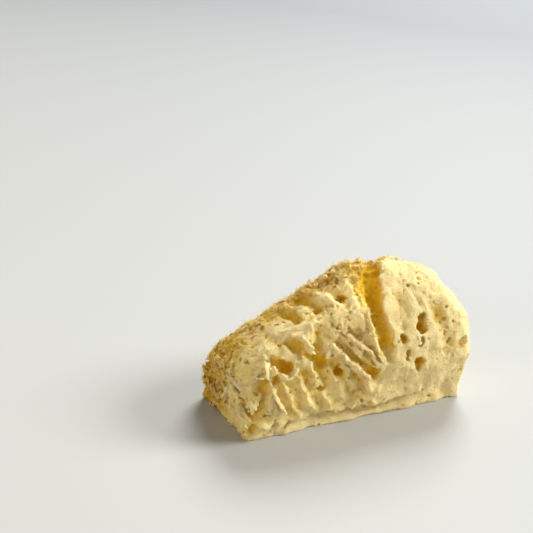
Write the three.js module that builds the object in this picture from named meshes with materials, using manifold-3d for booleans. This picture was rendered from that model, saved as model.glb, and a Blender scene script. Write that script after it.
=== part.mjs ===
// A natural sea sponge: one grown piece of sponge, trimmed with a knife so that it stands on a flat
// base. Millimetres, +Z up, the front face toward -Y, the long axis along X, and the origin in the
// middle of the base.
import * as THREE from 'three';
import { mergeVertices } from 'three/addons/utils/BufferGeometryUtils.js';
import Module from 'manifold-3d';

// ---- driving dimensions -------------------------------------------------------------------------

const BODY = {
  centre: new THREE.Vector3(5.9, -3.25, 9.5), // middle of the swollen right half
  reachRight: 43.2,
  reachLeft: 72, // the skin would run this far left if the end were not cut off
  reachBack: 24.5,
  reachFront: 29.5,
  reachUp: 41.4,
  squareness: 2.85, // power of the rounded outline: 2 is an ellipse, more is boxier
  lowerLeft: 0.51, // share of the height lost over one right-hand reach toward the left end
  thinnerLeft: 0.25, // the same for the depth
};
const FRONT = { y: -20.25, bulge: 1.5, leansBackAbove: 18, leanBack: 0.018, edge: 0.3, edgeRise: 0.12 };
const LEFT_END = { x: -41.75, turn: 12.4, lean: 0.12, edge: 0.3, edgeRise: 0.35 };
const RIGHT_TUCK = { x: 42.4, slope: 0.2 };
const LIP = { height: 4, rise: 0.02, sweepFrom: 16, sweepOver: 32, sweepUp: 17 };
const LUMP = { height: 0.7, pitch: 13 }; // soft swellings of the grown skin
const SKIN_DETAIL = 13; // 20 * (detail + 1)^2 triangles before the cuts

// Canals, hollows and grooves. Each runs along points of the face given as [x, z], with its radius
// and how far its middle line lies under the skin (a negative depth leaves a wide shallow scoop).
const CHANNELS = [
  { name: 'gutter', radius: 3.1, depth: 0.6, along: [[13.4, 50], [11, 46.5], [10, 40], [10.6, 34], [11.2, 28.5]] },
  { name: 'side groove', radius: 1.5, depth: 0.2, along: [[4.5, 46.5], [4.5, 43], [5, 39.5]] },
  { name: 'upper gully', radius: 2.3, depth: 0.4, along: [[-24, 33.8], [-19.7, 31.6], [-13.4, 27]] },
  { name: 'upper gully branch', radius: 1.7, depth: 0.2, along: [[-13.9, 36.6], [-15, 30.8]] },
  { name: 'lower gully', radius: 2.5, depth: 0.6, along: [[-31.5, 28], [-25.3, 25.4]] },
  { name: 'middle gully', radius: 2, depth: 0.3, along: [[-4.7, 27.5], [1, 21.1], [6.6, 17.6]] },
  { name: 'end crevice', radius: 1.6, depth: 0.4, along: [[-34, 26], [-35, 20], [-33, 11]] },
  { name: 'end flake gap', radius: 1.4, depth: 0.2, along: [[-40.5, 14.5], [-39.7, 11]] },
  { name: 'right notch', radius: 1.2, depth: 0, along: [[34.3, 21.7], [38, 23.3], [42.3, 24.3]] },
  { name: 'flute 1', radius: 3.3, depth: -1.2, along: [[-28.8, 22], [-27, 15], [-24, 8]] },
  { name: 'flute 2', radius: 3.1, depth: -1.3, along: [[-23, 20], [-21, 14], [-17.8, 8]] },
  { name: 'flute 3', radius: 3.1, depth: -1.2, along: [[-18, 22], [-15.5, 16], [-11.5, 9]] },
  { name: 'flute 4', radius: 3.1, depth: -1.2, along: [[-12.6, 24], [-9.8, 17], [-6.8, 10]] },
  { name: 'flute 5', radius: 3.2, depth: -1.1, along: [[-7.6, 26], [-4.6, 20], [-0.5, 11.5]] },
];

// Round canal mouths: place on the face, radius, and how deep the canal runs in.
const CANALS = [
  { name: 'top canal', at: [-2.5, 44.1], radius: 1.9, deep: 7 },
  { name: 'shoulder canal', at: [-12, 41.6], radius: 1.6, deep: 4 },
  { name: 'dark canal', at: [-6.6, 20.7], radius: 1.8, deep: 8 },
  { name: 'fine canal', at: [-14.4, 16], radius: 1.1, deep: 5 },
  { name: 'right canal', at: [23.5, 18.2], radius: 2.0, deep: 7 },
  { name: 'tall pocket', at: [25.6, 32.5], radius: 2.1, deep: 6 },
  { name: 'tall pocket foot', at: [25, 27.5], radius: 1.7, deep: 5 },
  { name: 'small pocket', at: [17.5, 29.2], radius: 1.5, deep: 3.5 },
  { name: 'middle pocket', at: [19.8, 23.6], radius: 1.3, deep: 3 },
  { name: 'gully pocket', at: [6.6, 17.6], radius: 2.1, deep: 5 },
];

// ---- the grown shape ----------------------------------------------------------------------------

const clamp01 = THREE.MathUtils.clamp;

// The larger of a and b, with their crossing rounded over about k.
function roundedMax(a, b, k) {
  const h = Math.max(k - Math.abs(a - b), 0) / k;
  return Math.max(a, b) + h * h * k * 0.25;
}

// Rounded skin that is lower and thinner toward the left. Negative inside, in millimetres.
function skin(p) {
  const d = p.clone().sub(BODY.centre);
  const towardLeft = Math.min(d.x / BODY.reachRight, 0);
  const height = Math.max(1 + BODY.lowerLeft * towardLeft, 0.05);
  const depth = Math.max(1 + BODY.thinnerLeft * towardLeft, 0.05);
  const n = BODY.squareness;
  const across = Math.abs(d.x) / (d.x > 0 ? BODY.reachRight : BODY.reachLeft);
  const along = Math.abs(d.y) / (depth * (d.y > 0 ? BODY.reachBack : BODY.reachFront));
  const up = Math.abs(d.z) / (BODY.reachUp * height);
  const sum = across ** n + along ** n + up ** n;
  return d.length() * (1 - Math.max(sum, 1e-9) ** (-1 / n));
}

// Torn front face: upright over the lip, then leaning back toward the top.
function frontFace(p) {
  const over = Math.max(p.z - FRONT.leansBackAbove, 0);
  return FRONT.y - FRONT.bulge + FRONT.leanBack * over * over - p.y;
}

// Left end, cut off a little askew and leaning in.
function leftEnd(p) {
  const turn = THREE.MathUtils.degToRad(LEFT_END.turn);
  const outX = -Math.cos(turn) * (p.x - LEFT_END.x);
  const outY = -Math.sin(turn) * (p.y - FRONT.y);
  return outX + outY + LEFT_END.lean * p.z;
}

function lumps(p) {
  const k = (2 * Math.PI) / LUMP.pitch;
  const wave = Math.sin(k * p.x + 1) * Math.sin(k * p.y + 0.5 * k * p.z) * Math.sin(k * p.z + 2);
  return LUMP.height * wave;
}

// The whole piece before its base and lower band are cut. Negative inside.
function body(p) {
  const above = Math.max(p.z, 0);
  let d = skin(p) + lumps(p) * clamp01((p.y - FRONT.y) / 12, 0, 1);
  d = roundedMax(d, leftEnd(p), LEFT_END.edge + LEFT_END.edgeRise * above);
  d = roundedMax(d, frontFace(p), FRONT.edge + FRONT.edgeRise * above);
  return Math.max(d, p.x - RIGHT_TUCK.x - RIGHT_TUCK.slope * p.z);
}

// Where a straight way from inside to outside meets the surface.
function surfaceAlong(inside, outside) {
  let lo = 0;
  let hi = 1;
  const p = new THREE.Vector3();
  for (let i = 0; i < 24; i++) {
    const mid = (lo + hi) / 2;
    if (body(p.lerpVectors(inside, outside, mid)) < 0) lo = mid;
    else hi = mid;
  }
  return p.lerpVectors(inside, outside, lo).clone();
}

// ---- solids -------------------------------------------------------------------------------------

const wasm = await Module();
wasm.setup();

function solidOf(geometry) {
  geometry.deleteAttribute('normal');
  geometry.deleteAttribute('uv');
  const merged = mergeVertices(geometry, 1e-4);
  const mesh = new wasm.Mesh({
    numProp: 3,
    vertProperties: new Float32Array(merged.attributes.position.array),
    triVerts: new Uint32Array(merged.index.array),
  });
  return new wasm.Manifold(mesh);
}

function geometryOf(solid) {
  const mesh = solid.getMesh();
  const geometry = new THREE.BufferGeometry();
  geometry.setAttribute('position', new THREE.BufferAttribute(mesh.vertProperties, 3));
  geometry.setIndex(new THREE.BufferAttribute(mesh.triVerts, 1));
  geometry.computeVertexNormals();
  return geometry;
}

function grownBody() {
  const geometry = new THREE.IcosahedronGeometry(1, SKIN_DETAIL);
  const heart = new THREE.Vector3(0, -1, 8);
  const place = geometry.attributes.position;
  const far = 120;
  for (let i = 0; i < place.count; i++) {
    const direction = new THREE.Vector3().fromBufferAttribute(place, i).normalize();
    const found = surfaceAlong(heart, heart.clone().addScaledVector(direction, far));
    place.setXYZ(i, found.x, found.y, found.z);
  }
  return solidOf(geometry);
}

// Everything under the floor plane, cut away to leave the flat base.
function baseKnife() {
  const block = new THREE.BoxGeometry(200, 200, 60);
  block.translate(0, 0, -30);
  return solidOf(block);
}

// The upright knife cut that leaves a plain band under the lip of the front face.
function bandKnife() {
  const outline = new THREE.Shape();
  outline.moveTo(-70, -5);
  outline.lineTo(70, -5);
  const steps = 16;
  for (let i = 0; i <= steps; i++) {
    const x = 60 - (120 * i) / steps;
    const sweep = clamp01((x - LIP.sweepFrom) / LIP.sweepOver, 0, 1);
    outline.lineTo(x, LIP.height + LIP.rise * (x + 42) + LIP.sweepUp * sweep * sweep);
  }
  outline.lineTo(-70, LIP.height);
  const block = new THREE.ExtrudeGeometry(outline, { depth: 30, bevelEnabled: false });
  block.rotateX(Math.PI / 2); // the outline stands in XZ and is pushed toward -Y
  block.translate(0, FRONT.y, 0);
  return solidOf(block);
}

// A point at a depth under the skin of the front face, and the way in from there.
function underSkin([x, z], depth) {
  const inside = new THREE.Vector3(x, 2, z);
  const outside = new THREE.Vector3(x, -60, z);
  const at = surfaceAlong(inside, outside);
  const step = 0.5;
  const slope = (axis) => {
    const shift = new THREE.Vector3().setComponent(axis, step);
    return body(at.clone().add(shift)) - body(at.clone().sub(shift));
  };
  const inward = new THREE.Vector3(slope(0), slope(1), slope(2)).normalize().negate();
  return { at: at.addScaledVector(inward, depth), inward };
}

function capsule(from, to, radius) {
  const way = to.clone().sub(from);
  const geometry = new THREE.CapsuleGeometry(radius, way.length(), 3, 10);
  const turn = new THREE.Quaternion().setFromUnitVectors(new THREE.Vector3(0, 1, 0), way.normalize());
  geometry.applyQuaternion(turn);
  const middle = from.clone().add(to).multiplyScalar(0.5);
  geometry.translate(middle.x, middle.y, middle.z);
  return solidOf(geometry);
}

function channel({ radius, depth, along }) {
  const places = along.map((spot) => underSkin(spot, depth).at);
  const runs = places.slice(1).map((to, i) => capsule(places[i], to, radius));
  return runs.reduce((all, run) => all.add(run));
}

function canal({ at, radius, deep }) {
  const mouth = underSkin(at, -radius);
  const end = mouth.at.clone().addScaledVector(mouth.inward, deep);
  return capsule(mouth.at, end, radius);
}

// ---- the part -----------------------------------------------------------------------------------

const trimmed = grownBody().subtract(baseKnife()).subtract(bandKnife());
const hollows = [...CHANNELS.map(channel), ...CANALS.map(canal)];
const finished = hollows.reduce((solid, hollow) => solid.subtract(hollow), trimmed);

const spongin = new THREE.MeshStandardMaterial({ color: 0xdcc583, roughness: 0.95, metalness: 0 });
const sponge = new THREE.Mesh(geometryOf(finished), spongin);
sponge.name = 'sponge';

const part = new THREE.Group();
part.add(sponge);
export default part;
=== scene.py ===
import math

import bpy
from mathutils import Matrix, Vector


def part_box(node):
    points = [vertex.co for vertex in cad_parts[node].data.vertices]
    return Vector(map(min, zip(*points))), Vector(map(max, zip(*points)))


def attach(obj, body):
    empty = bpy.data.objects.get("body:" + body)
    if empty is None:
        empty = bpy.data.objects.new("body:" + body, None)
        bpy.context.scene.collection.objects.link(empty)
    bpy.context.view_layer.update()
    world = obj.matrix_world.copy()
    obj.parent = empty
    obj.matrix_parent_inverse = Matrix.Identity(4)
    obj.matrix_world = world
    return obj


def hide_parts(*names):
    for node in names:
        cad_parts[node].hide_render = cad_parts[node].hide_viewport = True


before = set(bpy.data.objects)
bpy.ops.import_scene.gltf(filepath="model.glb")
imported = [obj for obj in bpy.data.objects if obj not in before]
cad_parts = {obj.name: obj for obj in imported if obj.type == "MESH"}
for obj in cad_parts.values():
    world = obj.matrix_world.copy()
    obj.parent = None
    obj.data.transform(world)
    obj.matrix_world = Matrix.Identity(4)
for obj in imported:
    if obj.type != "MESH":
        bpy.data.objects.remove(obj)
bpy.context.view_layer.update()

LOW, HIGH = (Vector(corner) * 1000 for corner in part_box("sponge"))
MIDDLE = (LOW + HIGH) / 2
LENGTH, DEPTH, HEIGHT = HIGH - LOW
MM = 0.001

# ---- driving dimensions, in millimetres ----------------------------------------------------------

HEART = Vector((MIDDLE.x + 5.9, MIDDLE.y - 3.25, LOW.z + 9.5))  # middle of the swollen right half
REACH_RIGHT, REACH_LEFT = 43.2, 72.0
REACH_BACK, REACH_FRONT, REACH_UP = 24.5, 29.5, 41.4
SQUARENESS = 2.85
LOWER_LEFT, THINNER_LEFT, THINNER_BACK = 0.51, 0.25, 0.11

FRONT_Y = MIDDLE.y - 20.25
FRONT_BULGE, LEANS_BACK_ABOVE, LEAN_BACK = 1.5, 18.0, 0.018
LEFT_X, LEFT_TURN, LEFT_LEAN = MIDDLE.x - 41.75, math.radians(12.4), 0.12
RIGHT_X, RIGHT_TUCK = MIDDLE.x + 42.4, 0.2

BAND_UNDERCUT = 1.8  # how far the plain band leans in under the lip

VOXEL = 0.38
BODY_TRIANGLES = 196000
CRUMB_POINTS = 20000  # a loose bit with fewer points than this is swept away
SEED = 7

# Scoops, gullies and slits of the torn face: radius and depth of the middle line under the skin,
# each at the start and at the end, and the points that it runs through, as (x, z) on the face.
GROOVES = {
    "gutter": (3.4, 2.8, 2.8, 2.0, [(14, 50.3), (11.3, 47.5), (10, 41), (10.5, 34.5), (11.2, 28.5)]),
    "gutter_slope": (3.2, 1.8, 1.2, 0.4, [(9.5, 49.2), (8, 46), (7.8, 40.5), (8.6, 34), (9.8, 29)]),
    "gutter_head": (3.4, 3.0, 2.4, 0.2, [(14, 1.5, 50.3), (15.5, 6, 50.6), (17, 11, 49.5)]),
    "gutter_end": (2.7, 1.8, 1.6, -0.8, [(11.2, 28.5), (11.6, 25), (12.2, 21)]),
    "side_groove": (2.4, 1.6, 0.4, 0.2, [(4.8, 47.5), (4.9, 43.5), (6, 39.5)]),
    "crest_hollow": (2.6, 2.0, -0.6, -0.4, [(-6, 46.5), (-4.5, 45.5), (-1.5, 43.5)]),
    "shoulder_hollow": (2.5, 2.1, 0.0, 0.6, [(-16, 40.5), (-13.5, 41.3), (-11, 41.8)]),
    "shoulder_step": (2.2, 2.6, 0.0, 0.2, [(-27, 36.3), (-22.5, 37.6), (-18.5, 38.4)]),
    "upper_gully": (2.2, 2.8, 1.2, 2.8, [(-24.2, 34), (-19.7, 31.6), (-15.4, 28.7), (-12.8, 26.6)]),
    "upper_branch": (1.9, 2.0, 0.4, 2.2, [(-13.3, 37), (-13.9, 34), (-14.6, 30.8)]),
    "left_crater": (2.3, 2.8, 1.6, 3.4, [(-31.4, 28.5), (-28.2, 27.6), (-25.3, 25.6)]),
    "middle_gully": (2.1, 2.6, 1.2, 2.0, [(-7, 31.5), (-4, 27.5), (-1.5, 24), (2, 21.2), (6, 18)]),
    "arch_gully": (1.8, 2.0, 0.6, 0.6, [(0.5, 34), (3, 30), (5, 26.5), (7.4, 23.5)]),
    "end_slit": (1.3, 1.0, 2.0, 1.6, [(-33.6, 26.5), (-34.2, 23.5), (-34.4, 20)]),
    "tongue_gap": (1.7, 2.2, 2.2, 2.8, [(-42.2, -7.5, 18), (-40.7, -15.3, 16.4), (-38.7, -21.2, 13)]),
    "lamella_gap": (1.1, 1.4, 1.2, 1.6, [(-42.2, -11.5, 14.5), (-41.2, -15.5, 12), (-40, -20, 9.5)]),
    "tall_pocket": (2.4, 2.4, 2.8, 2.4, [(26.6, 36), (25.4, 31), (24.6, 26.2)]),
    "right_notch": (1.5, 1.5, 1.0, 1.4, [(34.3, 21.7), (38, 23.3), (42.3, 24.3)]),
    "right_groove": (1.3, 0.9, -0.4, -0.3, [(24.7, 44), (26, 41), (27.5, 37.5)]),
}

# Soft folds, written in the same way.
FOLDS = {
    "end_valley": (3.2, 3.0, 1.0, -0.4, [(-34.8, -20.1, 22.9), (-36.5, -21.2, 18), (-36.6, -21.7, 10)]),
    "flute_1": (2.4, 3.1, 0.8, -1.3, [(-30.6, 23), (-28.4, 15), (-25.5, 8)]),
    "flute_2": (2.3, 3.0, 0.7, -1.3, [(-25.4, 21), (-22.4, 14), (-19.2, 7)]),
    "flute_3": (2.4, 3.1, 0.8, -1.2, [(-20.2, 23.5), (-17.2, 15.5), (-13.6, 8)]),
    "flute_4": (2.4, 3.0, 1.0, -1.2, [(-14.4, 24.5), (-11.2, 16.5), (-8, 9)]),
    "flute_5": (2.3, 3.0, 1.0, -1.2, [(-9, 25), (-5.2, 17.5), (-2, 10)]),
    "flute_6": (2.2, 2.6, 0.6, -1.2, [(-1.2, 20), (1.2, 14.5), (2.4, 10)]),
    "low_dip": (2.6, 2.6, -1.4, -1.6, [(9.5, 14), (13.5, 11.5), (18, 11)]),
    "right_dip": (3.2, 3.2, -1.8, -1.8, [(19, 42), (19.5, 37), (19, 33)]),
    "far_dip": (3.4, 3.4, -1.6, -1.8, [(32, 37), (34, 31), (34.5, 27)]),
}

# Round canals: where they open, as (x, z) on the front or (x, y, z) on the left end, their radius
# and how far they run in.
CANALS = {
    "top_canal": ((-2.5, 44.1), 1.9, 7),
    "shoulder_canal": ((-12, 41.6), 1.5, 3.5),
    "dark_canal": ((-6.6, 20.7), 1.8, 8),
    "fine_canal": ((-14.4, 16), 1.0, 6),
    "right_canal": ((23.5, 18.2), 2.1, 7),
    "right_canal_top": ((23.9, 19.6), 1.9, 6),
    "tall_pocket_canal": ((25.8, 32), 2.0, 6),
    "small_pocket": ((17.5, 29.2), 1.5, 3.5),
    "middle_pocket": ((19.8, 23.6), 1.2, 2.5),
    "middle_pit": ((19, 21.5), 0.8, 2),
    "gully_pocket": ((6.6, 17.6), 2.2, 3.4),
    "patch_canal": ((2.1, 32.2), 0.9, 4),
    "patch_pit_1": ((-2, 30.7), 0.6, 3),
    "patch_pit_2": ((-6.4, 28.8), 0.6, 3),
    "patch_pit_3": ((2.8, 26.6), 0.6, 3),
    "flute_pit_1": ((-30.6, 22.2), 1.5, 2.6),
    "flute_pit_2": ((-11.1, 22.4), 0.5, 3),
    "flute_pit_3": ((-8.4, 17.2), 0.5, 3),
    "low_pit": ((-31.6, 4.9), 1.5, 1.2),
    "tongue_pit": ((-37.9, -10.5, 26.2), 1.1, 2.6),
    "corner_dent": ((-39.4, -21.2, 4.8), 2.3, 1.8),
    "end_dent": ((-43.5, -8, 7.3), 1.4, 1.0),
    "far_dent": ((-47.7, 8.5, 3.2), 1.6, 1.0),
    "slit_pit": ((-33.6, -20.5, 23.4), 0.8, 5),
}

# Thin torn leaves and ridges: how far they stand over the skin and reach under it, their half
# thickness, how far the root lies aside of the rim, and the points that the rim runs through.
LEAVES = {
    "gutter_blade": (0.7, 3.0, 0.45, (0, 0, 0),
                     [(5.7, 39.8), (5.9, 35.3), (6.4, 30.6), (7.7, 25.4), (9.2, 22)]),
    "left_ridge": (0.7, 3.0, 0.5, (1.5, 0, -0.5),
                   [(-32.6, 29.5), (-33.4, 25.9), (-32.7, 21), (-30.6, 15), (-28.4, 9.9)]),
    "thick_ridge": (0.2, 3.0, 0.9, (0, 0, 0), [(-9.4, 31.5), (-3.8, 25), (3.1, 16.7), (3.8, 12)]),
    "arched_ridge": (0.2, 2.5, 0.6, (0, 0, 0), [(-4.3, 34.4), (1.3, 29.8), (5, 25.5), (7.6, 21.8)]),
    "white_flap": (0.6, 2.5, 0.8, (-1, 0, 1), [(-19.4, 35), (-17.8, 32.5), (-16.8, 30.5)]),
    "crater_tooth": (0.6, 3.0, 0.5, (-0.3, 0, -1.5),
                     [(-29, 25.2), (-27.5, 23.6), (-26, 23.8), (-24, 25.2), (-22.4, 26)]),
    "tongue": (0.9, 2.6, 0.5, (2.2, 2, 2.4),
               [(-41.4, -5.9, 23.5), (-42.3, -6.6, 19.5), (-40.8, -13, 18.4), (-39.1, -18.4, 19.9)]),
    "flake": (1.0, 2.4, 0.35, (1.5, 0, 1.5),
              [(-38.9, -18, 21), (-36.8, -18.5, 23.1), (-34.4, -19.2, 24.7), (-32.8, -17.2, 27.7)]),
    "slit_leaf": (1.1, 2.2, 0.4, (1.8, 0, 2.5),
                  [(-41.2, -14.5, 18), (-40.1, -18.9, 15.8), (-38.7, -21.2, 13.9)]),
    "arch": (0.9, 2.2, 0.5, (0.5, 1, -1.5),
             [(-44.2, -3.8, 9.4), (-43.4, -5.3, 12.8), (-42.2, -8.3, 16.6), (-41.2, -13.5, 15)]),
    "lamella": (1.2, 2.4, 0.6, (1, 0, 0.5),
                [(-42, -13.5, 10.8), (-41.4, -17.1, 8.4), (-40.9, -20.3, 6)]),
    "streak": (0.5, 2.0, 0.5, (0, 0, 0), [(-43, -10.1, 9), (-42.7, -13.2, 5.1)]),
}

# ---- sums that work on plain numbers and on the sockets of a node tree ---------------------------

PLAIN = {
    "ADD": lambda a, b: a + b,
    "SUBTRACT": lambda a, b: a - b,
    "MULTIPLY": lambda a, b: a * b,
    "DIVIDE": lambda a, b: a / b,
    "POWER": lambda a, b: a**b,
    "MAXIMUM": max,
    "MINIMUM": min,
    "ABSOLUTE": abs,
    "SQRT": math.sqrt,
}


class Wire:
    """A number that flows through a node tree, so that a shape can be written as a plain sum."""

    def __init__(self, tree, socket):
        self.tree = tree
        self.socket = socket

    def __add__(self, other):
        return maths("ADD", self, other)

    def __radd__(self, other):
        return maths("ADD", other, self)

    def __sub__(self, other):
        return maths("SUBTRACT", self, other)

    def __rsub__(self, other):
        return maths("SUBTRACT", other, self)

    def __mul__(self, other):
        return maths("MULTIPLY", self, other)

    def __rmul__(self, other):
        return maths("MULTIPLY", other, self)

    def __truediv__(self, other):
        return maths("DIVIDE", self, other)

    def __rtruediv__(self, other):
        return maths("DIVIDE", other, self)

    def __neg__(self):
        return maths("MULTIPLY", self, -1.0)


def feed(tree, socket, value):
    if isinstance(value, Wire):
        tree.links.new(value.socket, socket)
    else:
        socket.default_value = value


def maths(operation, *values):
    trees = [value.tree for value in values if isinstance(value, Wire)]
    if not trees:
        return PLAIN[operation](*values)
    node = trees[0].nodes.new("ShaderNodeMath")
    node.operation = operation
    for socket, value in zip(node.inputs, values):
        feed(trees[0], socket, value)
    return Wire(trees[0], node.outputs[0])


def larger(a, b):
    return maths("MAXIMUM", a, b)


def smaller(a, b):
    return maths("MINIMUM", a, b)


def power(a, b):
    return maths("POWER", a, b)


def size_of(a):
    return maths("ABSOLUTE", a)


def mixed(a, b, share):
    return a + (b - a) * share


def climb(x, start, end):
    """0 before start, 1 past end, and a smooth climb between them."""
    t = smaller(larger((x - start) * (1 / (end - start)), 0.0), 1.0)
    return t * t * (3.0 - 2.0 * t)


def round_larger(a, b, k):
    """The larger of a and b, with their crossing rounded over about k."""
    h = larger(1.0 - size_of(a - b) / k, 0.0)
    return larger(a, b) + h * h * k * 0.25


def round_smaller(a, b, k):
    return -round_larger(-a, -b, k)


# ---- the grown shape, in millimetres: negative inside --------------------------------------------


def skin(x, y, z):
    """Rounded skin, lower and thinner toward the left."""
    dx, dy, dz = x - HEART.x, y - HEART.y, z - HEART.z
    toward_left = smaller(dx / REACH_RIGHT, 0.0)
    height = larger(1.0 + LOWER_LEFT * toward_left, 0.05)
    front = REACH_FRONT * larger(1.0 + THINNER_LEFT * toward_left, 0.05)
    back = REACH_BACK * larger(1.0 + THINNER_BACK * toward_left, 0.05)
    across = larger(dx / REACH_RIGHT, -dx / REACH_LEFT)
    along = larger(dy / back, -dy / front)
    up = size_of(dz) / REACH_UP / height
    total = power(across, SQUARENESS) + power(along, SQUARENESS) + power(up, SQUARENESS)
    reach = maths("SQRT", dx * dx + dy * dy + dz * dz)
    return reach * (1.0 - power(larger(total, 1e-6), -1 / SQUARENESS))


def front_face(y, z):
    over = larger(z - LEANS_BACK_ABOVE, 0.0)
    return FRONT_Y - FRONT_BULGE + LEAN_BACK * over * over - y


def left_end(x, y, z):
    out_x = -math.cos(LEFT_TURN) * (x - LEFT_X)
    out_y = -math.sin(LEFT_TURN) * (y - FRONT_Y)
    return out_x + out_y + LEFT_LEAN * z


def whole(x, y, z):
    """The piece before its base and lower band are cut."""
    over = larger(z, 0.0)
    d = skin(x, y, z)
    d = round_larger(d, left_end(x, y, z), 0.4 + 0.35 * over)
    d = round_larger(d, front_face(y, z), 0.4 + 0.12 * over)
    return larger(d, x - RIGHT_X - RIGHT_TUCK * z)


def lip_height(x):
    """How high the plain knife-cut band reaches under the front face."""
    sweep = smaller(larger((x - MIDDLE.x - 16.4) / 32.0, 0.0), 1.0)
    return 4.0 + 0.02 * (x - MIDDLE.x + 42.0) + 17.0 * sweep * sweep


def slope_at(place):
    """Which way is out at a place."""
    step = 0.4
    change = []
    for axis in range(3):
        ahead, behind = list(place), list(place)
        ahead[axis] += step
        behind[axis] -= step
        change.append(whole(*ahead) - whole(*behind))
    return Vector(change).normalized()


def on_front(x, z):
    """The point of the front face at x and z."""
    inside, outside = MIDDLE.y + 2.0, LOW.y - 5.0
    for _ in range(24):
        y = (inside + outside) / 2
        if whole(x, y, z) < 0:
            inside = y
        else:
            outside = y
    return Vector((x, inside, z))


def on_skin(place):
    """The point of the skin next to a place, and the way in from there."""
    for _ in range(6):
        place = place - slope_at(place) * whole(*place)
    return place, -slope_at(place)


# ---- paths on the face ----------------------------------------------------------------------------


def rounded_path(points, spacing=0.5):
    """Points close together along a smooth curve through a few."""
    ends = [2 * points[0] - points[1], *points, 2 * points[-1] - points[-2]]
    path = []
    for a, b, c, d in zip(ends, ends[1:], ends[2:], ends[3:]):
        steps = max(1, round((c - b).length / spacing))
        for i in range(steps):
            t = i / steps
            bend = (2 * b) + (c - a) * t + (2 * a - 5 * b + 4 * c - d) * t**2
            path.append(0.5 * (bend + (3 * b - a - 3 * c + d) * t**3))
    return path + [points[-1]]


class Guides:
    """Guide lines and sheets for the carving, each point with its kind and radius."""

    GROOVE, FOLD, CANAL, LEAF = range(4)

    def __init__(self):
        self.points, self.edges, self.faces = [], [], []
        self.kinds, self.radii = [], []

    def add_line(self, path, kind, radii):
        start = len(self.points)
        self.points += path
        self.kinds += [kind] * len(path)
        self.radii += radii
        self.edges += [(start + i, start + i + 1) for i in range(len(path) - 1)]

    def add_sheet(self, low, high, radius):
        start, count = len(self.points), len(low)
        self.points += low + high
        self.kinds += [self.LEAF] * 2 * count
        self.radii += [radius] * 2 * count
        for i in range(start, start + count - 1):
            self.faces.append((i, i + 1, i + 1 + count, i + count))

    def as_mesh(self, name):
        mesh = bpy.data.meshes.new(name)
        mesh.from_pydata([p * MM for p in self.points], self.edges, self.faces)
        kind = mesh.attributes.new("kind", "INT", "POINT")
        kind.data.foreach_set("value", self.kinds)
        radius = mesh.attributes.new("radius", "FLOAT", "POINT")
        radius.data.foreach_set("value", self.radii)
        return mesh


def start_of(spot):
    return on_front(*spot) if len(spot) == 2 else Vector(spot)


def sunk_path(spots, start_sink, end_sink):
    """A smooth path that runs this far under the skin, past spots given as (x, z) or (x, y, z)."""
    smooth = rounded_path([start_of(spot) for spot in spots])
    path = []
    for i, spot in enumerate(smooth):
        at, inward = on_skin(spot)
        path.append(at + inward * mixed(start_sink, end_sink, i / (len(smooth) - 1)))
    return path


def add_grooves(guides, grooves, kind):
    for wide, narrow, sink, end_sink, spots in grooves.values():
        path = sunk_path(spots, sink, end_sink)
        shares = [i / (len(path) - 1) for i in range(len(path))]
        guides.add_line(path, kind, [mixed(wide, narrow, share) for share in shares])


def face_guides():
    guides = Guides()
    add_grooves(guides, GROOVES, Guides.GROOVE)
    add_grooves(guides, FOLDS, Guides.FOLD)
    for spot, radius, run in CANALS.values():
        at, inward = on_skin(start_of(spot))
        mouth = at - inward * radius
        path = rounded_path([mouth, at + inward * run / 2, at + inward * run])
        guides.add_line(path, Guides.CANAL, [radius] * len(path))
    for proud, root, thickness, aside, spots in LEAVES.values():
        rim = sunk_path(spots, -proud, -proud)
        low = [place + Vector(aside) for place in sunk_path(spots, root, root)]
        guides.add_sheet(low, rim, thickness)
    return guides


# ---- geometry node helpers -------------------------------------------------------------------------


def make(tree, kind, **settings):
    node = tree.nodes.new(kind)
    for name, value in settings.items():
        setattr(node, name, value)
    return node


def new_shape_tree(name, inputs):
    """A geometry tree with a geometry in and out, and one named number for each input."""
    tree = bpy.data.node_groups.new(name, "GeometryNodeTree")
    tree.interface.new_socket("Geometry", in_out="INPUT", socket_type="NodeSocketGeometry")
    tree.interface.new_socket("Geometry", in_out="OUTPUT", socket_type="NodeSocketGeometry")
    for label, default in inputs.items():
        kind = "NodeSocketInt" if isinstance(default, int) else "NodeSocketFloat"
        socket = tree.interface.new_socket(label, in_out="INPUT", socket_type=kind)
        socket.default_value = default
    given = make(tree, "NodeGroupInput")
    result = make(tree, "NodeGroupOutput")
    wires = {label: Wire(tree, given.outputs[label]) for label in inputs}
    return tree, given.outputs["Geometry"], result.inputs["Geometry"], wires


def position(tree):
    """Each point's place, in millimetres."""
    return scaled(Wire(tree, make(tree, "GeometryNodeInputPosition").outputs[0]), 1000.0)


def scaled(vector, factor):
    node = make(vector.tree, "ShaderNodeVectorMath", operation="SCALE")
    feed(vector.tree, node.inputs[0], vector)
    feed(vector.tree, node.inputs["Scale"], factor)
    return Wire(vector.tree, node.outputs[0])


def added(vector, other):
    node = make(vector.tree, "ShaderNodeVectorMath", operation="ADD")
    feed(vector.tree, node.inputs[0], vector)
    feed(vector.tree, node.inputs[1], other)
    return Wire(vector.tree, node.outputs[0])


def split(vector):
    node = make(vector.tree, "ShaderNodeSeparateXYZ")
    feed(vector.tree, node.inputs[0], vector)
    return [Wire(vector.tree, socket) for socket in node.outputs]


def joined(x, y, z):
    tree = x.tree
    node = make(tree, "ShaderNodeCombineXYZ")
    for socket, value in zip(node.inputs, (x, y, z)):
        feed(tree, socket, value)
    return Wire(tree, node.outputs[0])


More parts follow.
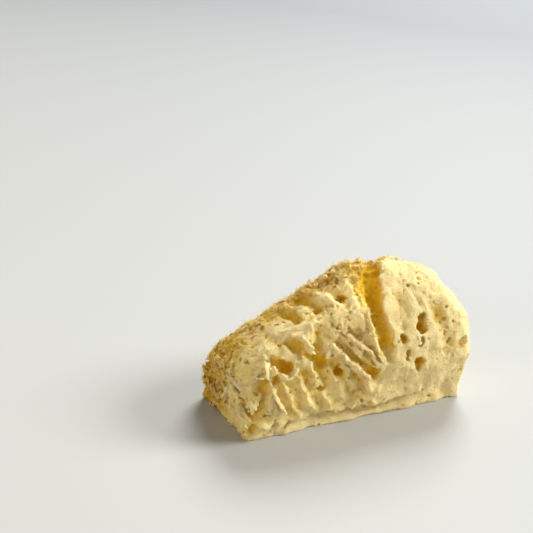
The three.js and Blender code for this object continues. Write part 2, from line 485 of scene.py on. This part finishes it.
def noise(place, pitch, detail=2.0, roughness=0.5, shift=0.0):
    """Smooth noise with waves about one pitch long: a number near 0.5, and a colour."""
    tree = place.tree
    node = make(tree, "ShaderNodeTexNoise")
    feed(tree, node.inputs["Vector"], added(place, (shift, shift * 1.7, -shift)) if shift else place)
    feed(tree, node.inputs["Scale"], 1.0 / pitch)
    feed(tree, node.inputs["Detail"], detail)
    feed(tree, node.inputs["Roughness"], roughness)
    return Wire(tree, node.outputs["Fac"]), Wire(tree, node.outputs["Color"])


def cells(place, pitch):
    """Distance in cells about one pitch wide, as a share of that pitch."""
    tree = place.tree
    node = make(tree, "ShaderNodeTexVoronoi", feature="F1")
    feed(tree, node.inputs["Vector"], place)
    feed(tree, node.inputs["Scale"], 1.0 / pitch)
    return Wire(tree, node.outputs["Distance"])


def warped(place, pitch, reach, shift):
    """The place, pushed about by smooth noise."""
    _, colour = noise(place, pitch, detail=1.0, shift=shift)
    centred = added(colour, (-0.5, -0.5, -0.5))
    return added(place, scaled(centred, 2.0 * reach))


def only_kind(tree, geometry, kind):
    """The guides of one kind."""
    kinds = make(tree, "GeometryNodeInputNamedAttribute", data_type="INT")
    kinds.inputs["Name"].default_value = "kind"
    same = make(tree, "FunctionNodeCompare", data_type="INT", operation="EQUAL")
    tree.links.new(kinds.outputs["Attribute"], same.inputs[2])
    same.inputs[3].default_value = kind
    parted = make(tree, "GeometryNodeSeparateGeometry", domain="POINT")
    tree.links.new(geometry, parted.inputs["Geometry"])
    tree.links.new(same.outputs[0], parted.inputs["Selection"])
    return parted.outputs["Selection"]


def gap_to(tree, geometry, place, element):
    """Millimetres from a place to the guides, less the radius of the nearest one."""
    here = scaled(place, MM)
    near = make(tree, "GeometryNodeProximity", target_element=element)
    tree.links.new(geometry, near.inputs[0])
    feed(tree, near.inputs["Sample Position"], here)
    point = make(tree, "GeometryNodeSampleNearest", domain="POINT")
    tree.links.new(geometry, point.inputs["Geometry"])
    feed(tree, point.inputs["Sample Position"], here)
    radius = make(tree, "GeometryNodeInputNamedAttribute", data_type="FLOAT")
    radius.inputs["Name"].default_value = "radius"
    taken = make(tree, "GeometryNodeSampleIndex", data_type="FLOAT", domain="POINT")
    tree.links.new(geometry, taken.inputs["Geometry"])
    tree.links.new(radius.outputs["Attribute"], taken.inputs["Value"])
    tree.links.new(point.outputs["Index"], taken.inputs["Index"])
    return Wire(tree, near.outputs["Distance"]) * 1000.0 - Wire(tree, taken.outputs["Value"])


def store(tree, geometry, name, value):
    """The geometry with one more named number on each point."""
    node = make(tree, "GeometryNodeStoreNamedAttribute", data_type="FLOAT", domain="POINT")
    tree.links.new(geometry, node.inputs["Geometry"])
    node.inputs["Name"].default_value = name
    feed(tree, node.inputs["Value"], value)
    return node.outputs["Geometry"]


def without_crumbs(tree, geometry):
    """Drops the small loose bits that carving leaves behind."""
    island = make(tree, "GeometryNodeInputMeshIsland").outputs["Island Index"]
    count = make(tree, "GeometryNodeAccumulateField", data_type="INT", domain="POINT")
    count.inputs[0].default_value = 1
    tree.links.new(island, count.inputs["Group ID"])
    small = make(tree, "FunctionNodeCompare", data_type="INT", operation="LESS_THAN")
    tree.links.new(count.outputs["Total"], small.inputs[2])
    small.inputs[3].default_value = CRUMB_POINTS
    kept = make(tree, "GeometryNodeDeleteGeometry", domain="POINT")
    tree.links.new(geometry, kept.inputs["Geometry"])
    tree.links.new(small.outputs[0], kept.inputs["Selection"])
    return kept.outputs["Geometry"]


def finish_shape(tree, geometry, result, material):
    """Every tree ends in real meshes that carry their material."""
    real = make(tree, "GeometryNodeRealizeInstances")
    painted = make(tree, "GeometryNodeSetMaterial")
    painted.inputs["Material"].default_value = material
    tree.links.new(geometry, real.inputs["Geometry"])
    tree.links.new(real.outputs["Geometry"], painted.inputs["Geometry"])
    tree.links.new(painted.outputs["Geometry"], result)


def finished(holder, name):
    """The evaluated holder as a plain piece, with no modifier left on it."""
    evaluated = holder.evaluated_get(bpy.context.evaluated_depsgraph_get())
    mesh = bpy.data.meshes.new_from_object(evaluated)
    spent = holder.data
    bpy.data.objects.remove(holder)
    bpy.data.meshes.remove(spent)
    mesh.name = name
    piece = bpy.data.objects.new(name, mesh)
    bpy.context.scene.collection.objects.link(piece)
    return piece


def grow(mesh, name, tree, values):
    """Runs a tree on a mesh, which is used up, and gives the piece that grew."""
    holder = bpy.data.objects.new(name + "_guide", mesh)
    bpy.context.scene.collection.objects.link(holder)
    modifier = holder.modifiers.new("grow", "NODES")
    modifier.node_group = tree
    for item in tree.interface.items_tree:
        if item.item_type == "SOCKET" and item.in_out == "INPUT" and item.name in values:
            modifier[item.identifier] = values[item.name]
    return finished(holder, name)


# ---- the sponge's body -----------------------------------------------------------------------------

BODY_INPUTS = {
    "Voxel": 0.4,
    "Lobe width": 3.3,
    "Lobe height": 3.0,
    "Swell": 1.0,
    "Pore pitch": 2.1,
    "Pore radius": 0.5,
    "Rib height": 1.0,
    "Felt height": 0.9,
    "Crest height": 0.9,
}
PATCH = Vector((MIDDLE.x - 3.0, MIDDLE.y - 15.0, 35.0))  # middle of the torn, fibrous patch

# How softly each kind of carving meets the face, in millimetres.
FOLD_ROUNDING, GROOVE_ROUNDING, CANAL_ROUNDING = 1.3, 0.8, 0.6
LEAF_ROUNDING, PORE_ROUNDING = 0.4, 0.25
PORE_RUN = 1.8  # how far a fine pore runs in
VOXEL_MARGIN = 1.2  # room for the felt around the box
FIELD_REACH = 2.0  # the distances are kept this far in and out of the surface


def natural_share(place):
    """1 on the grown skin of the crest and back, 0 on the torn front face."""
    x, y, _ = split(place)
    right = climb(x - MIDDLE.x, 4.0, 20.0)
    frayed, _ = noise(place, 7.0, detail=2.0, roughness=0.6, shift=15.0)
    return climb(y - FRONT_Y - 17.0 - 8.0 * right + (frayed - 0.5) * 16.0, -4.0, 6.0)


def patch_share(x, y, z):
    """1 in the torn, fibrous patch beside the gutter."""
    dx, dy, dz = x - PATCH.x, y - PATCH.y, z - PATCH.z
    return 1.0 - climb(maths("SQRT", dx * dx + dy * dy + dz * dz), 5.0, 11.0)


def lobes(place, given):
    """How far the grown skin sinks in the winding gaps between its lobes."""
    wavy = warped(place, 3.0, 2.0, 11.0)
    winding, _ = noise(wavy, given["Lobe width"], detail=0.5, shift=12.0)
    finer, _ = noise(wavy, given["Lobe width"] * 0.6, detail=0.5, shift=14.0)
    gap = 1.0 - climb(size_of(winding - 0.5), 0.0, 0.11)
    fine_gap = 1.0 - climb(size_of(finer - 0.52), 0.0, 0.07)
    lower, _ = noise(place, 9.0, detail=1.0, shift=13.0)
    return larger(gap, fine_gap * 0.55) * given["Lobe height"] + (lower - 0.5) * 3.0


def down_the_face(place, squeeze):
    """The place, squeezed along the flutes, so that noise read there is drawn out down the face."""
    tree = place.tree
    turned = make(tree, "ShaderNodeVectorRotate", rotation_type="Y_AXIS")
    feed(tree, turned.inputs["Vector"], place)
    turned.inputs["Angle"].default_value = math.radians(-20)
    x, y, z = split(Wire(tree, turned.outputs[0]))
    return joined(x, y, z * squeeze)


def face_relief(place, x, given):
    """How far the torn face sinks and swells between its grooves."""
    right = climb(x - MIDDLE.x, 6.0, 15.0)
    swell, _ = noise(place, 8.0, detail=1.0, shift=41.0)
    knob, _ = noise(down_the_face(place, 0.6), 3.2, detail=2.0, roughness=0.6, shift=43.0)
    fold, _ = noise(down_the_face(place, 0.4), 4.2, detail=1.5, shift=47.0)
    crest = larger(1.0 - size_of(fold - 0.5) * 7.0, 0.0)
    calm = mixed(1.0, 0.5, right)
    rise = crest * crest * given["Crest height"] * mixed(1.0, 0.3, right)
    return (1.1 + (swell - 0.5) * 4.0 * given["Swell"] + (knob - 0.5) * 2.0 - rise) * calm


def ribs(place, x, given):
    """Fine ribs of fibre that run down the face, and the grain of the felt."""
    calm = mixed(1.0, 0.35, climb(x - MIDDLE.x, 6.0, 15.0))
    rib, _ = noise(down_the_face(place, 0.22), 1.5, detail=2.0, roughness=0.6, shift=2.0)
    felt, _ = noise(place, 1.1, detail=2.0, roughness=0.7, shift=6.0)
    return (rib - 0.5) * calm * given["Rib height"] + (felt - 0.5) * given["Felt height"]


def ragged_lip(place):
    """How far the torn lip over the band rises and falls."""
    wave, _ = noise(place, 5.0, detail=3.0, roughness=0.6, shift=17.0)
    return (wave - 0.5) * 5.0


def pores(place, given, share):
    """Distance to fine pores scattered through the felt."""
    spots = cells(warped(place, 2.5, 0.3, 23.0), given["Pore pitch"])
    here, _ = noise(place, 7.0, detail=1.0, shift=31.0)
    radius = given["Pore radius"] * (3.2 * here - 0.8 + 0.7 * share)
    return spots * given["Pore pitch"] - radius


def under_the_lip(x, y, z, place):
    """The slice that the knife took off below the lip: negative inside it."""
    lip = lip_height(x) + ragged_lip(place)
    middle = climb(x - MIDDLE.x, -20.0, -10.0) * (1.0 - climb(x - MIDDLE.x, 8.0, 16.0))
    undercut = BAND_UNDERCUT * climb(z, 0.5, 5.0) * (0.5 + 0.9 * middle)
    return smaller(FRONT_Y + undercut - y, lip - z)


def tattered(leaves, place, grain):
    """The thin leaves, with holes torn in them."""
    tatter, _ = noise(place, 2.2, detail=2.0, roughness=0.6, shift=19.0)
    return leaves + grain * 0.4 + larger(tatter - 0.48, 0.0) * 3.0


def mesh_of(tree, d, voxel):
    """The surface where d is 0, in a box of voxels around the whole piece."""
    volume = make(tree, "GeometryNodeVolumeCube")
    volume.inputs["Min"].default_value = (LOW - Vector((VOXEL_MARGIN,) * 3)) * MM
    volume.inputs["Max"].default_value = (HIGH + Vector((VOXEL_MARGIN,) * 3)) * MM
    for axis, extent in zip("XYZ", (LENGTH, DEPTH, HEIGHT)):
        feed(tree, volume.inputs["Resolution " + axis], (extent + 2 * VOXEL_MARGIN) / voxel)
    feed(tree, volume.inputs["Density"], larger(smaller(-d, FIELD_REACH), -FIELD_REACH))
    volume.inputs["Background"].default_value = -FIELD_REACH
    meshed = make(tree, "GeometryNodeVolumeToMesh", resolution_mode="GRID")
    meshed.inputs["Threshold"].default_value = 0.0
    meshed.inputs["Adaptivity"].default_value = 0.0
    tree.links.new(volume.outputs["Volume"], meshed.inputs["Volume"])
    return meshed.outputs["Mesh"]


def body_tree(material):
    tree, guides, result, given = new_shape_tree("sponge_body", BODY_INPUTS)
    straight = position(tree)
    soft = warped(straight, pitch=8.0, reach=1.8, shift=3.0)
    wavy = warped(straight, pitch=4.0, reach=1.5, shift=5.0)
    torn = warped(wavy, pitch=1.3, reach=0.5, shift=7.0)
    x, y, z = split(soft)
    natural = natural_share(soft)
    patch = patch_share(x, y, z)
    plain = whole(x, y, z)
    grain = ribs(straight, x, given)
    band = under_the_lip(x, y, z, straight)
    cut = larger(plain, band)

    relief = mixed(face_relief(straight, x, given), lobes(straight, given), natural)
    d = plain + relief + grain * (1.0 + 0.5 * patch)
    folds = gap_to(tree, only_kind(tree, guides, Guides.FOLD), wavy, "EDGES")
    grooves = gap_to(tree, only_kind(tree, guides, Guides.GROOVE), torn, "EDGES")
    canals = gap_to(tree, only_kind(tree, guides, Guides.CANAL), torn, "EDGES")
    leaves = gap_to(tree, only_kind(tree, guides, Guides.LEAF), torn, "FACES")
    d = round_larger(d, grain * 0.7 - folds, FOLD_ROUNDING)
    d = round_larger(d, grain * 0.8 - grooves, GROOVE_ROUNDING)
    leaves = larger(tattered(leaves, straight, grain), -z)
    d = round_smaller(d, leaves, LEAF_ROUNDING)
    d = larger(d, band + 0.4 + grain * 0.7)
    hollow = larger(-d, 0.0)
    d = round_larger(d, grain * 0.5 - canals, CANAL_ROUNDING)
    pore = larger(pores(straight, given, patch), -d - PORE_RUN)
    d = round_larger(d, -pore, PORE_ROUNDING)
    _, _, true_z = split(straight)
    d = larger(d, LOW.z - true_z)

    shape = without_crumbs(tree, mesh_of(tree, d, given["Voxel"]))
    shape = store(tree, shape, "depth", 1.6 * hollow - cut)
    shape = store(tree, shape, "natural", natural)
    shape = store(tree, shape, "patch", patch)
    finish_shape(tree, shape, result, material)
    return tree


def thinned(piece, count):
    """The piece with its mesh collapsed to this many triangles."""
    triangles = sum(len(face.vertices) - 2 for face in piece.data.polygons)
    if triangles <= count:
        return piece
    name = piece.name
    piece.name = name + "_dense"
    thin = piece.modifiers.new("thin", "DECIMATE")
    thin.ratio = count / triangles
    return finished(piece, name)


def sponge_body(material):
    guides = face_guides().as_mesh("sponge_guides")
    values = dict(BODY_INPUTS, Voxel=VOXEL)
    piece = thinned(grow(guides, "sponge_body", body_tree(material), values), BODY_TRIANGLES)
    for face in piece.data.polygons:
        face.use_smooth = True
    return piece


# ---- loose fibres ------------------------------------------------------------------------------------

FIBRE_INPUTS = {
    "Fibres per square mm": 2.5,
    "Fibre length": 1.2,
    "Fibre radius": 0.05,
    "Steps": 3,
    "Lie": 0.9,
    "Patch only": 0.0,
    "From x": -50.0,
    "To x": 50.0,
    "Seed": 1,
}
STRANDS = {
    "Seed": SEED + 9,
    "Fibre length": 3.2,
    "Fibre radius": 0.07,
    "Steps": 7,
    "Lie": 1.5,
    "Patch only": 1.0,
    "Fibres per square mm": 1.2,
}


def fibre(tree, given):
    """One curled fibre of three sides, standing on the origin."""
    length = given["Fibre length"] * MM
    bend = make(tree, "GeometryNodeCurveQuadraticBezier")
    feed(tree, bend.inputs["Resolution"], given["Steps"])
    bend.inputs["Start"].default_value = (0, 0, -0.1 * MM)
    feed(tree, bend.inputs["Middle"], joined(length * 0.15, length * 0.3, length * 0.6))
    feed(tree, bend.inputs["End"], joined(length * 0.75, length * 0.1, length * 0.7))
    ring = make(tree, "GeometryNodeCurvePrimitiveCircle")
    ring.inputs["Resolution"].default_value = 3
    feed(tree, ring.inputs["Radius"], given["Fibre radius"] * MM)
    tube = make(tree, "GeometryNodeCurveToMesh")
    tree.links.new(bend.outputs["Curve"], tube.inputs["Curve"])
    tree.links.new(ring.outputs["Curve"], tube.inputs["Profile Curve"])
    return tube.outputs["Mesh"]


def named(tree, name):
    node = make(tree, "GeometryNodeInputNamedAttribute", data_type="FLOAT")
    node.inputs["Name"].default_value = name
    return Wire(tree, node.outputs["Attribute"])


def random_value(tree, kind, low, high, seed):
    node = make(tree, "FunctionNodeRandomValue", data_type=kind)
    start = {"FLOAT_VECTOR": 0, "FLOAT": 2}[kind]
    node.inputs[start].default_value = low
    node.inputs[start + 1].default_value = high
    feed(tree, node.inputs["Seed"], seed)
    return Wire(tree, node.outputs[start // 2])


def fibre_tree(material):
    tree, surface, result, given = new_shape_tree("loose_fibres", FIBRE_INPUTS)
    place = position(tree)
    x, _, z = split(place)
    inside = climb(x, given["From x"], given["From x"] + 0.01)
    inside = inside * (1.0 - climb(x, given["To x"], given["To x"] + 0.01))
    above = climb(z, LOW.z + 1.3, LOW.z + 2.0)
    clump, _ = noise(place, 4.0, detail=1.0, shift=61.0)
    spread = make(tree, "GeometryNodeDistributePointsOnFaces", distribute_method="RANDOM")
    tree.links.new(surface, spread.inputs["Mesh"])
    clump = mixed(climb(clump, 0.3, 0.7), named(tree, "patch"), given["Patch only"])
    density = given["Fibres per square mm"] * 1e6 * inside * above * clump
    feed(tree, spread.inputs["Density"], density)
    feed(tree, spread.inputs["Seed"], given["Seed"])
    lie = random_value(tree, "FLOAT_VECTOR", (-1.0, -1.0, 0.0), (1.0, 1.0, 6.3), given["Seed"])
    tilt_x, tilt_y, about = split(lie)
    tilt = joined(tilt_x * given["Lie"], tilt_y * given["Lie"], about)
    turn = make(tree, "FunctionNodeRotateRotation", rotation_space="LOCAL")
    tree.links.new(spread.outputs["Rotation"], turn.inputs["Rotation"])
    feed(tree, turn.inputs["Rotate By"], tilt)
    size = random_value(tree, "FLOAT", 0.5, 1.4, given["Seed"] + 1.0)
    size = size * mixed(0.7, 1.0, named(tree, "natural"))
    planted = make(tree, "GeometryNodeInstanceOnPoints")
    tree.links.new(spread.outputs["Points"], planted.inputs["Points"])
    tree.links.new(fibre(tree, given), planted.inputs["Instance"])
    tree.links.new(turn.outputs["Rotation"], planted.inputs["Rotation"])
    feed(tree, planted.inputs["Scale"], joined(size, size, size))
    finish_shape(tree, planted.outputs["Instances"], result, material)
    return tree


def fibre_piece(name, body, tree, changes):
    values = dict(FIBRE_INPUTS, **changes)
    return grow(body.data.copy(), name, tree, values)


def loose_fibres(body, material):
    """Short fibres over the whole felt, and longer strands in the torn patch."""
    tree = fibre_tree(material)
    steps = [LOW.x - 1, MIDDLE.x - 14, MIDDLE.x + 14, HIGH.x + 1]
    for i, name in enumerate(("fibres_left", "fibres_middle", "fibres_right")):
        span = {"Seed": SEED + i, "From x": steps[i], "To x": steps[i + 1]}
        yield fibre_piece(name, body, tree, span)
    yield fibre_piece("torn_strands", body, tree, STRANDS)


# ---- materials --------------------------------------------------------------------------------------

# Colour by depth under the skin: partly the spongin's own deeper tone inside, partly painted shade in
# the hollows and painted glow of light through thin walls.
SPONGIN_TONE_AND_SHADE_BY_DEPTH = (
    (0.0, (0.93, 0.755, 0.37)),
    (0.18, (0.92, 0.705, 0.26)),
    (0.38, (0.86, 0.605, 0.115)),
    (0.64, (0.77, 0.48, 0.03)),
    (1.0, (0.58, 0.30, 0.01)),
)
GROWN_SKIN_SHADE_TINT = (0.90, 0.84, 0.86)  # painted shade: the grown skin is made darker and warmer than the torn face
PAINTED_HOLLOW_GLOW, PAINTED_GLOW_STRENGTH = (1.0, 0.52, 0.01, 1), 0.1  # painted glow: emission in the hollows stands in for light that comes through thin spongin
SPONGIN_SCATTER = (1.0, 0.65, 0.15)
# painted shade on the table: paper colour from the lit front to the greyer back and right
PAPER_SHADE_STEPS = ((0.0, (0.46, 0.457, 0.435)), (1.0, (0.23, 0.232, 0.242)))


def colour_steps(tree, value, steps):
    node = make(tree, "ShaderNodeValToRGB")
    first, last = node.color_ramp.elements
    for element, (share, colour) in ((first, steps[0]), (last, steps[-1])):
        element.position, element.color = share, (*colour, 1)
    for share, colour in steps[1:-1]:
        node.color_ramp.elements.new(share).color = (*colour, 1)
    feed(tree, node.inputs["Fac"], value)
    return Wire(tree, node.outputs["Color"])


def attribute(tree, name):
    return Wire(tree, make(tree, "ShaderNodeAttribute", attribute_name=name).outputs["Fac"])


def object_place(tree):
    return Wire(tree, make(tree, "ShaderNodeTexCoord").outputs["Object"])


def spongin_colour(tree, place, depth):
    """Pale outside and golden in the hollows, partly the spongin's own tone and partly painted shade;
    clouded and specked, with painted shade darkening the grown skin and the left end.
    """
    cloud, _ = noise(place, 9.0, detail=3.0, shift=51.0)
    speck, _ = noise(place, 0.9, detail=2.0, roughness=0.7, shift=53.0)
    natural = attribute(tree, "natural")
    x, _, _ = split(place)
    # painted shade: darker toward the left end
    left_end_shade = 1.0 - climb(x, MIDDLE.x - 42.0, MIDDLE.x - 30.0)
    level = (depth - 0.8) * 0.125 + (cloud - 0.5) * 0.24 + (speck - 0.5) * 0.45
    # painted shade: the grown skin and the left end are pushed toward the darker golden steps
    level = level + natural * 0.2 + left_end_shade * 0.14
    parts = split(colour_steps(tree, level, SPONGIN_TONE_AND_SHADE_BY_DEPTH))
    shade_tints = [mixed(1.0, tint, natural) for tint in GROWN_SKIN_SHADE_TINT]
    return joined(*(part * tint for part, tint in zip(parts, shade_tints)))


def spongin_finish(name, felt):
    """Dry spongin: matt and pale outside, golden and then brown in the hollows, partly its own tone and
    partly painted shade, with a painted glow in the deepest hollows.
    """
    material = bpy.data.materials.new(name)
    material.use_nodes = True
    tree = material.node_tree
    shader = tree.nodes["Principled BSDF"]
    depth = attribute(tree, "depth")
    place = scaled(object_place(tree), 1000.0)
    feed(tree, shader.inputs["Base Color"], spongin_colour(tree, place, depth))
    # painted glow: the deep hollows emit a little golden light
    shader.inputs["Emission Color"].default_value = PAINTED_HOLLOW_GLOW
    feed(tree, shader.inputs["Emission Strength"], climb(depth, 2.0, 7.0) * PAINTED_GLOW_STRENGTH)
    shader.inputs["Roughness"].default_value = 0.9
    shader.inputs["Specular IOR Level"].default_value = 0.05
    shader.inputs["Subsurface Weight"].default_value = 0.3
    shader.inputs["Subsurface Radius"].default_value = SPONGIN_SCATTER
    shader.inputs["Subsurface Scale"].default_value = 0.0015
    if felt:
        fine, _ = noise(place, 0.7, detail=3.0, roughness=0.75)
        bump = make(tree, "ShaderNodeBump")
        bump.inputs["Strength"].default_value = 1.0
        bump.inputs["Distance"].default_value = 0.0008
        feed(tree, bump.inputs["Height"], fine)
        tree.links.new(bump.outputs["Normal"], shader.inputs["Normal"])
    return material


def floor_material():
    """Matt paper with painted shade: a little greyer toward the back and right."""
    material = bpy.data.materials.new("pale_table")
    material.use_nodes = True
    tree = material.node_tree
    shader = tree.nodes["Principled BSDF"]
    x, y, _ = split(object_place(tree))
    # painted shade: greyer toward the back and right
    paper = colour_steps(tree, y * 0.62 + x * 1.13 + 0.1, PAPER_SHADE_STEPS)
    feed(tree, shader.inputs["Base Color"], paper)
    shader.inputs["Roughness"].default_value = 0.7
    return material


# ---- camera, floor and light ------------------------------------------------------------------------


VIEW_TURN, VIEW_TILT, VIEW_DISTANCE = -19.85, 25.0, 436.6  # degrees, degrees, millimetres
VIEW_AIM = Vector((MIDDLE.x + 13.8, MIDDLE.y + 112.7, LOW.z))
TABLE_HALF = 3.0  # metres
LAMP_DISTANCE = 3.0  # metres
LAMPS = {  # turn and tilt in degrees, width in metres, watts, colour
    "side_window": (74.0, 30.0, 1.1, 108.0, (0.98, 0.99, 1.0)),
    "back_window": (140.0, 42.0, 1.5, 108.0, (0.93, 0.98, 1.0)),
    "left_bounce": (-66.0, 18.0, 1.6, 24.0, (1.0, 0.9, 0.74)),
}
SKY = ((0.0, (0.76, 0.745, 0.71)), (1.0, (0.29, 0.265, 0.22)))  # from the horizon up


def way_out(turn, tilt):
    """The way out from the sponge, turned about it and tilted up by so many degrees."""
    turn, tilt = math.radians(turn), math.radians(tilt)
    level = math.cos(tilt)
    return Vector((math.sin(turn) * level, -math.cos(turn) * level, math.sin(tilt)))


def camera():
    back = way_out(VIEW_TURN, VIEW_TILT)
    data = bpy.data.cameras.new("camera")
    data.lens, data.sensor_width = 60.0, 36.0
    data.clip_start, data.clip_end = 0.01, 20.0
    eye = bpy.data.objects.new("camera", data)
    eye.location = (VIEW_AIM + back * VIEW_DISTANCE) * MM
    eye.rotation_euler = (-back).to_track_quat("-Z", "Y").to_euler()
    bpy.context.scene.collection.objects.link(eye)
    bpy.context.scene.camera = eye


def table_top():
    mesh = bpy.data.meshes.new("table_top")
    round_about = ((-1, -1), (1, -1), (1, 1), (-1, 1))
    corners = [(x * TABLE_HALF, y * TABLE_HALF, LOW.z * MM) for x, y in round_about]
    mesh.from_pydata(corners, [], [(0, 1, 2, 3)])
    mesh.materials.append(floor_material())
    top = bpy.data.objects.new("table_top", mesh)
    bpy.context.scene.collection.objects.link(top)


def soft_lamp(name, turn, tilt, width, watts, colour):
    data = bpy.data.lights.new(name, "AREA")
    data.shape, data.size = "DISK", width
    data.energy, data.color = watts, colour
    lamp = bpy.data.objects.new(name, data)
    away = way_out(turn, tilt)
    target = Vector((MIDDLE.x, MIDDLE.y, 20.0)) * MM
    lamp.location = target + away * LAMP_DISTANCE
    lamp.rotation_euler = (-away).to_track_quat("-Z", "Y").to_euler()
    bpy.context.scene.collection.objects.link(lamp)


def studio():
    camera()
    table_top()
    world = bpy.data.worlds.new("studio")
    world.use_nodes = True
    tree = world.node_tree
    _, _, up = split(Wire(tree, make(tree, "ShaderNodeTexCoord").outputs["Generated"]))
    feed(tree, tree.nodes["Background"].inputs["Color"], colour_steps(tree, up * 3.0, SKY))
    bpy.context.scene.world = world
    bpy.context.scene.view_settings.view_transform = "Standard"
    for name, lamp in LAMPS.items():
        soft_lamp(name, *lamp)


# ---- assembly ---------------------------------------------------------------------------------------


def fasten(piece):
    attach(piece, "root")
    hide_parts("sponge")


studio()
body = sponge_body(spongin_finish("felted_spongin", felt=True))
fasten(body)
for fibres in loose_fibres(body, spongin_finish("loose_spongin", felt=False)):
    fasten(fibres)
